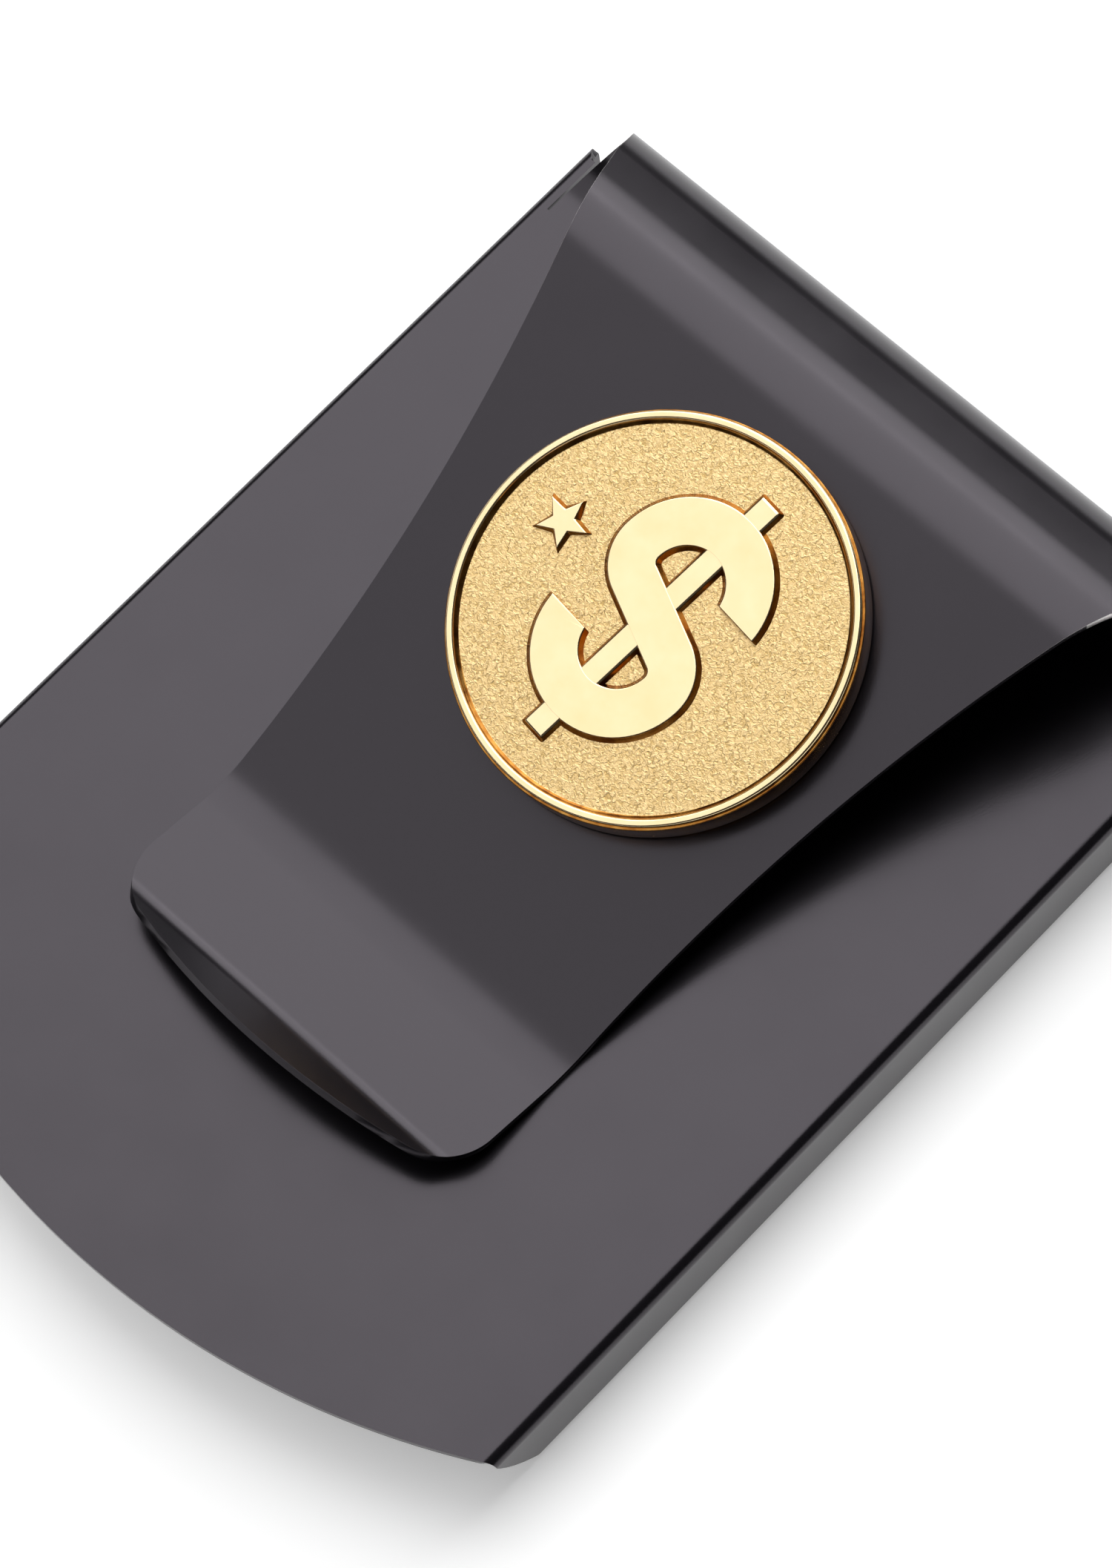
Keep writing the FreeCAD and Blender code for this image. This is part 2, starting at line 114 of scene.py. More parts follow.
# %% Sheet helpers
EDGE_ROUND = 0.09
BEND_STEPS = 10
NEAR = 1e-3


def pull(bm, edges, offset, steps=1):
    """Extend the sheet from its leading edges by a straight run and return the new leading edges."""
    for _ in range(steps):
        made = bmesh.ops.extrude_edge_only(bm, edges=edges)["geom"]
        verts = [item for item in made if isinstance(item, bmesh.types.BMVert)]
        edges = [item for item in made if isinstance(item, bmesh.types.BMEdge)]
        bmesh.ops.translate(bm, verts=verts, vec=Vector(offset) / steps)
    return edges


def swing(bm, edges, centre, axis, angle, steps):
    """Extend the sheet round a bend and return the new leading edges."""
    made = bmesh.ops.spin(
        bm, geom=edges, cent=centre, axis=axis, angle=angle, steps=steps, use_merge=False
    )["geom_last"]
    return [item for item in made if isinstance(item, bmesh.types.BMEdge)]


def first_edge(bm, start, end):
    """The sheet's first edge, from one point to another."""
    verts = [bmesh.ops.create_vert(bm, co=Vector(point))["vert"][0] for point in (start, end)]
    return [bm.edges.new(verts)]


def trim(bm, point, outward, faces=None):
    """Cut away what lies beyond a plane, from all faces or from the given ones only."""
    faces = bm.faces[:] if faces is None else [face for face in faces if face.is_valid]
    edges = {edge for face in faces for edge in face.edges}
    verts = {vert for face in faces for vert in face.verts}
    bmesh.ops.bisect_plane(
        bm, geom=[*verts, *edges, *faces], dist=1e-5, plane_co=point, plane_no=outward, clear_outer=True
    )


def sheet_object(bm, name):
    """Turn a finished bmesh in millimetres into an object in metres with smooth bends and crisp edges."""
    bmesh.ops.scale(bm, vec=(MM, MM, MM), verts=bm.verts)
    mesh = bpy.data.meshes.new(name)
    bm.to_mesh(mesh)
    bm.free()
    piece = bpy.data.objects.new(name, mesh)
    bpy.context.scene.collection.objects.link(piece)
    mesh.shade_smooth()
    mesh.set_sharp_from_angle(angle=math.radians(50))
    even = piece.modifiers.new("even_flats", "WEIGHTED_NORMAL")
    even.keep_sharp = True
    print(name, "has", len(mesh.polygons), "faces")
    return piece


# %% [markdown]
# ## Back plate and card rails
#
# The plate, the two rails and the lips that hold a card in are one folded channel. It starts as the free
# edge of the right lip and is folded round to the left lip. Trimming planes then round its ends: many
# planes in a row, each turned a little further, leave a smooth curve.

# %% Trimming round a curve
def trim_round(bm, centre, radius, start, end, steps, faces, along):
    """Round the sheet off with planes tangent to an arc, seen along the X or the Z axis."""
    for step in range(steps + 1):
        turn = start + (end - start) * step / steps
        across, up = math.cos(turn), math.sin(turn)
        outward = Vector((across, up, 0)) if along == "Z" else Vector((0, across, up))
        trim(bm, Vector(centre) + outward * radius, outward, faces())


def thicken(bm, keep_square):
    """Give the skin its thickness on the inside and round the cut edges, except where keep_square says."""
    bmesh.ops.remove_doubles(bm, verts=bm.verts, dist=1e-4)
    bmesh.ops.solidify(bm, geom=bm.faces, thickness=SHEET)
    sharp = [
        edge
        for edge in bm.edges
        if len(edge.link_faces) == 2
        and edge.calc_face_angle(0) > math.radians(50)
        and not keep_square(edge)
    ]
    bmesh.ops.bevel(
        bm, geom=sharp, offset=EDGE_ROUND, offset_type="OFFSET", segments=3, profile=0.5,
        affect="EDGES", material=-1, clamp_overlap=True,
    )


# %% Fold the channel
bend_x = half_width - RAIL_BEND
end_arc_y = plate_end + END_ARC_RADIUS
rail_run = RAIL_HEIGHT - 2 * RAIL_BEND
quarter = math.radians(90)

plate = bmesh.new()
edges = first_edge(
    plate, (half_width - RAIL_LIP, plate_end - 1, 0), (half_width - RAIL_LIP, rail_head_y, 0)
)
edges = pull(plate, edges, (RAIL_LIP - RAIL_BEND, 0, 0))
edges = swing(plate, edges, (bend_x, 0, RAIL_BEND), (0, -1, 0), quarter, BEND_STEPS)
edges = pull(plate, edges, (0, 0, rail_run))
edges = swing(plate, edges, (bend_x, 0, RAIL_HEIGHT - RAIL_BEND), (0, -1, 0), quarter, BEND_STEPS)
edges = pull(plate, edges, (-2 * bend_x, 0, 0))
edges = swing(plate, edges, (-bend_x, 0, RAIL_HEIGHT - RAIL_BEND), (0, -1, 0), quarter, BEND_STEPS)
edges = pull(plate, edges, (0, 0, -rail_run))
edges = swing(plate, edges, (-bend_x, 0, RAIL_BEND), (0, -1, 0), quarter, BEND_STEPS)
pull(plate, edges, (RAIL_LIP - RAIL_BEND, 0, 0))
bmesh.ops.recalc_face_normals(plate, faces=plate.faces)
if max(plate.faces, key=lambda face: face.calc_center_median().z).normal.z < 0:
    bmesh.ops.reverse_faces(plate, faces=plate.faces)
print("folded channel:", len(plate.faces), "faces")

# %% Round the plate's end and the rails' ends
side_angle = math.asin(half_width / END_ARC_RADIUS)
END_CUTS, FOOT_CUTS, HEAD_CUTS = 44, 6, 8
trim_round(
    plate, (0, end_arc_y, 0), END_ARC_RADIUS, -quarter - side_angle, -quarter + side_angle, END_CUTS,
    lambda: plate.faces[:], "Z",
)


def below_bend():
    """The walls, lower bends and lips."""
    return [f for f in plate.faces if all(v.co.z < RAIL_HEIGHT - RAIL_BEND + NEAR for v in f.verts)]


RAIL_FOOT_RADIUS, RAIL_FOOT_SETBACK = 15, 3.8
foot_start = Vector((end_arc_y - math.sqrt(END_ARC_RADIUS**2 - half_width**2), RAIL_HEIGHT - RAIL_BEND))
foot_end = foot_start + Vector((RAIL_FOOT_SETBACK, -foot_start.y))
foot_chord = foot_end - foot_start
foot_inward = Vector((-foot_chord.y, foot_chord.x)).normalized()
foot_centre = (foot_start + foot_end) / 2 + foot_inward * math.sqrt(
    RAIL_FOOT_RADIUS**2 - (foot_chord.length / 2) ** 2
)
foot_turns = [
    math.atan2(*(point - foot_centre).yx) % math.tau for point in (foot_start, foot_end)
]
trim_round(
    plate, (0, foot_centre.x, foot_centre.y), RAIL_FOOT_RADIUS, *foot_turns, FOOT_CUTS,
    below_bend, "X",
)
print("rail foot rounded from", [round(math.degrees(turn)) for turn in foot_turns], "degrees")

# %% Open the top for the fold and round the rails' heads
for point, normal in (
    ((0, notch_y, 0), (0, 1, 0)),
    ((rail_head_x, 0, 0), (1, 0, 0)),
    ((-rail_head_x, 0, 0), (1, 0, 0)),
):
    top_faces = [f for f in plate.faces if f.normal.z > 0.999 and f.calc_center_median().z > RAIL_BEND]
    geometry = {item for f in top_faces for item in (*f.verts, *f.edges, f)}
    bmesh.ops.bisect_plane(plate, geom=list(geometry), dist=1e-5, plane_co=point, plane_no=normal)
opening = [
    f
    for f in plate.faces
    if f.calc_center_median().z > RAIL_HEIGHT - NEAR
    and f.calc_center_median().y > notch_y
    and abs(f.calc_center_median().x) < rail_head_x
]
bmesh.ops.delete(plate, geom=opening, context="FACES")

RAIL_HEAD_RADIUS = 1.0
for centre_z, start in ((RAIL_HEIGHT - RAIL_HEAD_RADIUS, 0.0), (RAIL_HEAD_RADIUS, -quarter)):
    trim_round(
        plate, (0, rail_head_y - RAIL_HEAD_RADIUS, centre_z), RAIL_HEAD_RADIUS,
        start, start + quarter, HEAD_CUTS,
        lambda: [f for f in plate.faces if max(v.co.y for v in f.verts) > notch_y + 0.5], "X",
    )
thicken(plate, lambda edge: all(abs(v.co.y - notch_y) < NEAR for v in edge.verts))
back_plate = sheet_object(plate, "formed_back_plate")
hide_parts("back_plate")
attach(back_plate, "plate")

# %% [markdown]
# ## Spring fold and arm
#
# The fold and the arm are the same strip of steel, so they are one mesh. The
# strip is made one unit wide, folded along its length, and then given its real width at each place, which is
# the tapering outline of the blank.

# %% Places along the arm
root_y = fold_y + FOLD_RADIUS * math.sin(RISE_ANGLE)
root_z = fold_z + FOLD_RADIUS * math.cos(RISE_ANGLE)
crest_y = root_y - RISE_LENGTH * math.cos(RISE_ANGLE)
crest_z = root_z + RISE_LENGTH * math.sin(RISE_ANGLE)
ramp_y = crest_y - SHOULDER_RADIUS * (math.sin(RISE_ANGLE) + math.sin(RAMP_ANGLE))
ramp_z = crest_z + SHOULDER_RADIUS * (math.cos(RAMP_ANGLE) - math.cos(RISE_ANGLE))
contact_z = RAIL_HEIGHT + CONTACT_GAP + SHEET
ramp_end_z = contact_z + CONTACT_RADIUS * (1 - math.cos(RAMP_ANGLE))
ramp_end_y = ramp_y - (ramp_z - ramp_end_z) / math.tan(RAMP_ANGLE)
contact_y = ramp_end_y - CONTACT_RADIUS * math.sin(RAMP_ANGLE)
lip_y = contact_y - CONTACT_RADIUS * math.sin(LIP_ANGLE)
lip_z = contact_z + CONTACT_RADIUS * (1 - math.cos(LIP_ANGLE))
curl_y = lip_y - LIP_LENGTH * math.cos(LIP_ANGLE)
curl_z = lip_z + LIP_LENGTH * math.sin(LIP_ANGLE)
curl_end_y = curl_y - CURL_RADIUS * (math.sin(CURL_ANGLE) - math.sin(LIP_ANGLE))
tip_y = curl_end_y - CURL_LENGTH * math.cos(CURL_ANGLE)
print("arm from y", round(root_y, 2), "to", round(tip_y, 2), "mm")

# %% Fold the strip
FOLD_STEPS, SHOULDER_STEPS, CONTACT_STEPS, CURL_STEPS = 44, 14, 10, 8
RISE_ROWS, RAMP_ROWS, LIP_ROWS, TIP_ROWS = 2, 30, 3, 2

strip = bmesh.new()
edges = first_edge(strip, (-1, notch_y, fold_z - FOLD_RADIUS), (1, notch_y, fold_z - FOLD_RADIUS))
edges = pull(strip, edges, (0, fold_y - notch_y, 0))
edges = swing(strip, edges, (0, fold_y, fold_z), (1, 0, 0), math.pi - RISE_ANGLE, FOLD_STEPS)
edges = pull(strip, edges, (0, crest_y - root_y, crest_z - root_z), RISE_ROWS)
shoulder = Vector((0, crest_y, crest_z)) - SHOULDER_RADIUS * Vector(
    (0, math.sin(RISE_ANGLE), math.cos(RISE_ANGLE))
)
edges = swing(strip, edges, shoulder, (1, 0, 0), RISE_ANGLE + RAMP_ANGLE, SHOULDER_STEPS)
edges = pull(strip, edges, (0, ramp_end_y - ramp_y, ramp_end_z - ramp_z), RAMP_ROWS)
contact = (0, contact_y, contact_z + CONTACT_RADIUS)
edges = swing(strip, edges, contact, (-1, 0, 0), RAMP_ANGLE + LIP_ANGLE, CONTACT_STEPS)
edges = pull(strip, edges, (0, curl_y - lip_y, curl_z - lip_z), LIP_ROWS)
curl = Vector((0, curl_y, curl_z)) + CURL_RADIUS * Vector((0, math.sin(LIP_ANGLE), math.cos(LIP_ANGLE)))
edges = swing(strip, edges, curl, (-1, 0, 0), CURL_ANGLE - LIP_ANGLE, CURL_STEPS)
pull(
    strip, edges,
    (0, -CURL_LENGTH * math.cos(CURL_ANGLE), CURL_LENGTH * math.sin(CURL_ANGLE)), TIP_ROWS,
)
bmesh.ops.recalc_face_normals(strip, faces=strip.faces)
if max(strip.faces, key=lambda face: face.calc_center_median().z).normal.z < 0:
    bmesh.ops.reverse_faces(strip, faces=strip.faces)
print("folded strip:", len(strip.faces), "faces")

# %% Give the strip its outline
TONGUE_HALF_WIDTH = 0.5118 * half_width
FLARE_RADIUS, FLARE_SETBACK = 135, 2.4
TIP_ARC_RADIUS, TIP_CORNER_RADIUS = 50, 4
TIP_CUTS, CORNER_CUTS = 16, 12


def arm_half_width(y):
    """Half the arm's width: straight sides near the tip, then an arc that widens towards the fold."""
    run = max(y - (contact_y - FLARE_SETBACK), 0)
    return TONGUE_HALF_WIDTH + FLARE_RADIUS - math.sqrt(FLARE_RADIUS**2 - run**2)


root_x = arm_half_width(root_y)
under_z = fold_z - FOLD_RADIUS


def strip_half_width(place):
    """Half the strip's width anywhere: the fold's sides lean in evenly from its foot to the arm's root."""
    if place.y > root_y - 1e-4 or place.z < RAIL_HEIGHT + 0.4:
        share = (place.z - under_z) / (root_z - under_z)
        return fold_foot_x + (root_x - fold_foot_x) * share
    return arm_half_width(place.y)


for vert in strip.verts:
    vert.co.x *= strip_half_width(vert.co)


def lip_faces():
    """The faces between the contact bend and the tip."""
    return [f for f in strip.faces if max(v.co.y for v in f.verts) < contact_y - FLARE_SETBACK]


corner_x = TONGUE_HALF_WIDTH - TIP_CORNER_RADIUS
corner_reach = TIP_ARC_RADIUS - TIP_CORNER_RADIUS
corner_turn = math.asin(corner_x / corner_reach)
corner_y = tip_y + TIP_ARC_RADIUS - corner_reach * math.cos(corner_turn)
trim_round(
    strip, (0, tip_y + TIP_ARC_RADIUS, 0), TIP_ARC_RADIUS, -quarter - corner_turn,
    -quarter + corner_turn, TIP_CUTS, lip_faces, "Z",
)
for side in (-1, 1):
    start = -quarter + side * corner_turn
    trim_round(
        strip, (side * corner_x, corner_y, 0), TIP_CORNER_RADIUS, start, 0 if side > 0 else -math.pi,
        CORNER_CUTS, lip_faces, "Z",
    )


def on_seam(edge):
    """Whether an edge lies on the seam where the strip leaves the plate."""
    return all(v.co.y < notch_y + NEAR and v.co.z < RAIL_HEIGHT + 0.01 for v in edge.verts)


thicken(strip, on_seam)

# %% Mark the edge faces that get the painted highlight
HIGHLIGHT_START, EDGE_HIGHLIGHT_FACE = 20, 1
EDGE_BAND = 1.3 * EDGE_ROUND
LEAST_LEAN, MOST_LEAN = 0.1, 0.95
strip.normal_update()
# The up-facing edge faces near the fold get a bright steel colour that paints the edge's highlight.
for face in strip.faces:
    centre = face.calc_center_median()
    on_edge = abs(abs(centre.x) - strip_half_width(centre)) < EDGE_BAND
    leans = LEAST_LEAN < abs(face.normal.x) < MOST_LEAN
    if on_edge and leans and centre.y > HIGHLIGHT_START and centre.z > fold_z:
        if face.normal.z > 0 or centre.y > root_y:
            face.material_index = EDGE_HIGHLIGHT_FACE
print("painted edge highlight faces:", sum(face.material_index == EDGE_HIGHLIGHT_FACE for face in strip.faces))

# %% [markdown]
# The strip becomes one object with smooth bends and its place baked into its mesh, and the imported fold and
# arm are hidden.

# %% The spring arm
spring_arm = sheet_object(strip, "folded_spring_arm")
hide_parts("spring_fold", "clip_arm")
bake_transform(spring_arm)

# %% [markdown]
# ## Medallion
#
# A struck brass disc, plated and polished, with a raised rim and a dollar sign that stands off a frosted
# field. The blank is a profile spun round its middle. The sign is a stroke pulled and swung along the path
# of an S, as a pen would draw it. It is all made flat at the origin and laid on the arm at the end.

# %% Medallion sizes
MEDALLION_RADIUS, MEDALLION_THICKNESS = 12.9, 2.8
RIM_WIDTH, RIM_HEIGHT, RIM_SLOPE, RIM_ROUND = 0.5, 0.35, 0.26, 0.15
RIM_LEDGE, RIM_LEDGE_DEPTH, BACK_CHAMFER = 0.15, 0.45, 0.3
MEDALLION_SETBACK, MEDALLION_OFFSET = 13.75, 0.85
ADHESIVE_THICKNESS = 0.15
field_z = MEDALLION_THICKNESS - RIM_HEIGHT
rim_edge = MEDALLION_RADIUS - RIM_LEDGE
MIRROR_FACE, FROSTED_FACE, WALL_FACE = 0, 1, 2
SIGN_TURN = math.radians(7)


# %% Spin the blank
def profile(bm, points):
    """Join points in the XZ plane, given as (x, z), with a chain of edges."""
    verts = [bm.verts.new((x, 0, z)) for x, z in points]
    return verts + [bm.edges.new(pair) for pair in zip(verts, verts[1:])]


def arc_points(centre_x, centre_z, radius, start, end, steps):
    """Points along an arc in the XZ plane, angles in degrees."""
    turns = [math.radians(start + (end - start) * step / steps) for step in range(steps + 1)]
    return [(centre_x + radius * math.cos(t), centre_z + radius * math.sin(t)) for t in turns]


BLANK_STEPS = 180
blank = bmesh.new()
ledge_z = MEDALLION_THICKNESS - RIM_LEDGE_DEPTH
rim_top = MEDALLION_THICKNESS
inner_edge = rim_edge - RIM_WIDTH
LEDGE_ROUND = 0.05
outline = [
    (0, 0),
    (MEDALLION_RADIUS - BACK_CHAMFER, 0),
    (MEDALLION_RADIUS, BACK_CHAMFER),
    *arc_points(MEDALLION_RADIUS - LEDGE_ROUND, ledge_z - LEDGE_ROUND, LEDGE_ROUND, 0, 90, 3),
    (rim_edge, ledge_z),
    *arc_points(rim_edge - RIM_ROUND, rim_top - RIM_ROUND, RIM_ROUND, 0, 90, 5),
    *arc_points(inner_edge + RIM_ROUND, rim_top - RIM_ROUND, RIM_ROUND, 90, 160, 5),
    (inner_edge - RIM_SLOPE, field_z),
    (inner_edge - RIM_SLOPE - 0.05, field_z),
    (0, field_z),
]
bmesh.ops.spin(
    blank, geom=profile(blank, outline), cent=(0, 0, 0), axis=(0, 0, 1), dvec=(0, 0, 0),
    angle=math.tau, steps=BLANK_STEPS, use_merge=True,
)
bmesh.ops.remove_doubles(blank, verts=blank.verts, dist=1e-4)
bmesh.ops.recalc_face_normals(blank, faces=blank.faces)
# The blank's steep walls get the dark gold that paints their shade.
for face in blank.faces:
    centre = face.calc_center_median()
    if face.normal.z > 0.99 and abs(centre.z - field_z) < NEAR:
        face.material_index = FROSTED_FACE
    elif math.hypot(centre.x, centre.y) < inner_edge - 0.02 and centre.z > field_z or centre.z < ledge_z:
        face.material_index = WALL_FACE
print("medallion blank:", len(blank.faces), "faces")

# %% [markdown]
# The sign's stroke has a flat face and rounded shoulders, so its section is a low arch. A half turn, a part
# turn at the waist and a sloping spine make one half of the S, and its hook is cut off level. The other half
# is the same, turned half round.

# %% Draw the sign
DOLLAR_HEIGHT, DOLLAR_WIDTH = 16.5, 11
STROKE_WIDTH, SPINE_ANGLE, HOOK_RISE = 3.1, 18, 0.6
BAR_LENGTH, BAR_WIDTH = 19.4, 1.5
RELIEF_SLOPE, RELIEF_ROUND = 0.26, 0.14
half_stroke = STROKE_WIDTH / 2
bowl_radius = (DOLLAR_WIDTH - STROKE_WIDTH) / 2
bowl_y = DOLLAR_HEIGHT / 2 - half_stroke - bowl_radius
spine_turn = math.radians(SPINE_ANGLE)
waist_radius = (bowl_y * math.cos(spine_turn) - bowl_radius * math.sin(spine_turn)) / (
    1 - math.sin(spine_turn)
)
waist_x = bowl_radius - waist_radius
SUNK = 0.06
WALL_STEEPNESS = 0.75
BOWL_STEPS, WAIST_STEPS = 40, 14
SIGN_ROUND, STAR_ROUND = 0.08, 0.07


def relief_section(half_width_here):
    """A low arch, as (offset, height) points: sunk feet, sloping sides, rounded shoulders, flat face."""
    side = [
        (half_width_here + RELIEF_SLOPE, field_z - SUNK),
        *arc_points(half_width_here - RELIEF_ROUND, rim_top - RELIEF_ROUND, RELIEF_ROUND, 15, 90, 4),
    ]
    return side + [(-x, z) for x, z in reversed(side)]


def close_section(bm, points, shift):
    """The relief section as a closed loop of edges, moved along X."""
    made = profile(bm, [(x + shift, z) for x, z in points])
    verts = made[: len(points)]
    return [item for item in made if isinstance(item, bmesh.types.BMEdge)] + [
        bm.edges.new((verts[-1], verts[0]))
    ]


sign = bmesh.new()
edges = close_section(sign, relief_section(half_stroke), bowl_radius)
for vert in sign.verts:
    vert.co.y = bowl_y
edges = swing(sign, edges, (0, bowl_y, 0), (0, 0, 1), math.pi, BOWL_STEPS)
edges = swing(sign, edges, (-waist_x, bowl_y, 0), (0, 0, 1), quarter - spine_turn, WAIST_STEPS)
middle = sum((edge.verts[0].co.xy + edge.verts[1].co.xy for edge in edges), Vector((0, 0)))
middle /= 2 * len(edges)
pull(sign, edges, (-middle.x, -middle.y, 0))
trim(
    sign, Vector((0, bowl_y + HOOK_RISE, 0)), Vector((0, -1, 0)),
    [f for f in sign.faces if f.calc_center_median().x > 0 and f.calc_center_median().y > 0],
)
half_sign = sign.verts[:] + sign.edges[:] + sign.faces[:]
other_half = bmesh.ops.duplicate(sign, geom=half_sign)["geom"]
bmesh.ops.rotate(
    sign, cent=(0, 0, 0), matrix=Matrix.Rotation(math.pi, 3, "Z"),
    verts=[item for item in other_half if isinstance(item, bmesh.types.BMVert)],
)
bmesh.ops.remove_doubles(sign, verts=sign.verts, dist=0.01)
bmesh.ops.holes_fill(sign, edges=[edge for edge in sign.edges if edge.is_boundary])


def mark_walls(bm):
    """Turn a relief piece to the die's angle and mark its steep sides."""
    bmesh.ops.rotate(bm, cent=(0, 0, 0), matrix=Matrix.Rotation(-SIGN_TURN, 3, "Z"), verts=bm.verts)
    bm.normal_update()
    # Steep sides get the dark gold that paints their shade.
    for face in bm.faces:
        if face.normal.z < WALL_STEEPNESS:
            face.material_index = WALL_FACE


def soften(bm, reach):
    """Round the sharp edges that stand clear of the field."""
    sharp = [
        edge
        for edge in bm.edges
        if len(edge.link_faces) == 2
        and edge.calc_face_angle(0) > math.radians(55)
        and max(vert.co.z for vert in edge.verts) > field_z
    ]
    bmesh.ops.bevel(
        bm, geom=sharp, offset=reach, offset_type="OFFSET", segments=3, profile=0.5,
        affect="EDGES", material=-1, clamp_overlap=True,
    )


bmesh.ops.recalc_face_normals(sign, faces=sign.faces)
soften(sign, SIGN_ROUND)
mark_walls(sign)
print("dollar sign:", len(sign.faces), "faces, open edges", sum(e.is_boundary for e in sign.edges))

# %% [markdown]
# The bar is a plain block and the star a raised ten-cornered outline. Both start with upright sides, and
# their feet are then moved outwards, so that the sides slope as a die needs them to.

# %% Bar and star
def flare_foot(bm, middle_x=0):
    """Slope the sides of a straight-sided relief by moving its foot outwards from its middle."""
    for vert in bm.verts:
        if vert.co.z < field_z:
            away = vert.co.xy - Vector((middle_x, 0))
            shift = [math.copysign(RELIEF_SLOPE, value) if abs(value) > 0.3 else 0 for value in away]
            vert.co.xy += Vector(shift)


FLUSH = 0.01
bar = bmesh.new()
bmesh.ops.create_cube(
    bar, size=1,
    matrix=Matrix.Translation((0, 0, (rim_top - FLUSH + field_z - SUNK) / 2))
    @ Matrix.Diagonal((BAR_WIDTH, BAR_LENGTH, rim_top - FLUSH - field_z + SUNK, 1)),
)
flare_foot(bar)
soften(bar, RELIEF_ROUND)
mark_walls(bar)

STAR_RADIUS, STAR_OFFSET, STAR_WAIST = 1.7, 8.3, 0.42
star = bmesh.new()
bmesh.ops.create_circle(star, segments=10, radius=STAR_RADIUS, cap_ends=True)
for vert in star.verts:
    if round(vert.co.xy.angle_signed(Vector((0, 1))) / math.radians(36)) % 2:
        vert.co *= STAR_WAIST
raised = bmesh.ops.extrude_face_region(star, geom=star.faces[:])["geom"]
bmesh.ops.translate(
    star, vec=(0, 0, RIM_HEIGHT + SUNK),
    verts=[item for item in raised if isinstance(item, bmesh.types.BMVert)],
)
bmesh.ops.translate(star, vec=(-STAR_OFFSET, 0, field_z - SUNK), verts=star.verts)
bmesh.ops.recalc_face_normals(star, faces=star.faces)
flare_foot(star, -STAR_OFFSET)
soften(star, STAR_ROUND)
mark_walls(star)
print("star:", len(star.faces), "faces")

# %% Lay the medallion on the arm
medallion_y = ramp_y - MEDALLION_SETBACK
medallion_z = ramp_z - MEDALLION_SETBACK * math.tan(RAMP_ANGLE)
on_ramp = (
    Matrix.Translation((MEDALLION_OFFSET, medallion_y, medallion_z))
    @ Matrix.Rotation(RAMP_ANGLE, 4, "X")
    @ Matrix.Translation((0, 0, ADHESIVE_THICKNESS))
)


def gold_piece(bm, name):
    """Lay a finished piece of the medallion on the arm and give it to the arm's body."""
    bmesh.ops.transform(bm, matrix=on_ramp, verts=bm.verts)
    piece = sheet_object(bm, name)
    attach(piece, "arm")
    return piece


medallion_blank = gold_piece(blank, "medallion_blank")
dollar_sign = gold_piece(sign, "dollar_relief")
dollar_bar = gold_piece(bar, "dollar_bar_relief")
star_relief = gold_piece(star, "star_relief")
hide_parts("medallion")
print("medallion box:", [round(v / MM, 2) for v in medallion_blank.bound_box[0]])

# %% [markdown]
# ## Finishes
#
# Every finish is a node material that reads Object coordinates, so its grain has the same real size on all
# pieces. Colours are given as sRGB hex values, and one function turns them into the linear values that the
# shader wants. One helper adds a node, sets it up and links it.

# %% Colour and node helpers
def linear(code):
    """An sRGB hex colour as linear RGBA."""
    channels = [int(code[i : i + 2], 16) / 255 for i in (1, 3, 5)]
    return (*[c / 12.92 if c <= 0.04045 else ((c + 0.055) / 1.055) ** 2.4 for c in channels], 1)


def new_finish(name):
    """A new material and its emptied node tree, with an output."""
    finish = bpy.data.materials.new(name)
    finish.use_nodes = True
    finish.node_tree.nodes.clear()
    finish.node_tree.nodes.new("ShaderNodeOutputMaterial")
    return finish, finish.node_tree


def add_node(tree, kind, settings=None, sockets=None, links=None):
    """Add a node: attributes in settings, fixed values in sockets, and links as input name to output."""
    node = tree.nodes.new(kind)
    for name, value in (settings or {}).items():
        setattr(node, name, value)
    for name, value in (sockets or {}).items():
        node.inputs[name].default_value = value
    for name, source in (links or {}).items():
        tree.links.new(source, node.inputs[name])
    return node


def finish_with(tree, shader):
    """Send the shader to the material's output."""
    output = next(node for node in tree.nodes if node.type == "OUTPUT_MATERIAL")
    tree.links.new(shader.outputs["BSDF"], output.inputs["Surface"])


def ramp(tree, source, stops):
    """A colour ramp through (position, hex colour) stops."""
    node = add_node(tree, "ShaderNodeValToRGB", links={"Fac": source})
    points = node.color_ramp.elements
    for point, (position, code) in zip(points, (stops[0], stops[-1])):
        point.position, point.color = position, linear(code)
    for position, code in stops[1:-1]:
        points.new(position).color = linear(code)
    return node


# %% [markdown]
# ### Black baked enamel on spring steel
#
# The steel is sprayed and baked after forming. That gives the eye a deep black with a satin sheen, and a
# very fine, even orange-peel grain that breaks reflections into a soft speckle. The grain is 0.12 mm, and a
# slower waviness of 6 mm stands for the thickness of the film.

# %% Black enamel
PEEL_SIZE, FILM_SIZE = 0.12 * MM, 6 * MM

black_enamel, tree = new_finish("black_baked_enamel")
place = add_node(tree, "ShaderNodeTexCoord").outputs["Object"]
peel = add_node(
    tree, "ShaderNodeTexNoise", sockets={"Scale": 1 / PEEL_SIZE, "Detail": 3, "Roughness": 0.6},
    links={"Vector": place},
)
film = add_node(
    tree, "ShaderNodeTexNoise", sockets={"Scale": 1 / FILM_SIZE, "Detail": 2}, links={"Vector": place}
)
shade = ramp(tree, peel.outputs["Fac"], [(0.35, "#0a090b"), (0.7, "#131116")])
gloss = add_node(
    tree, "ShaderNodeMapRange",
    sockets={"From Min": 0.3, "From Max": 0.7, "To Min": 0.21, "To Max": 0.26},
    links={"Value": film.outputs["Fac"]},
)
grain = add_node(
    tree, "ShaderNodeBump", sockets={"Strength": 0.5, "Distance": 0.006 * MM},
    links={"Height": peel.outputs["Fac"]},
)
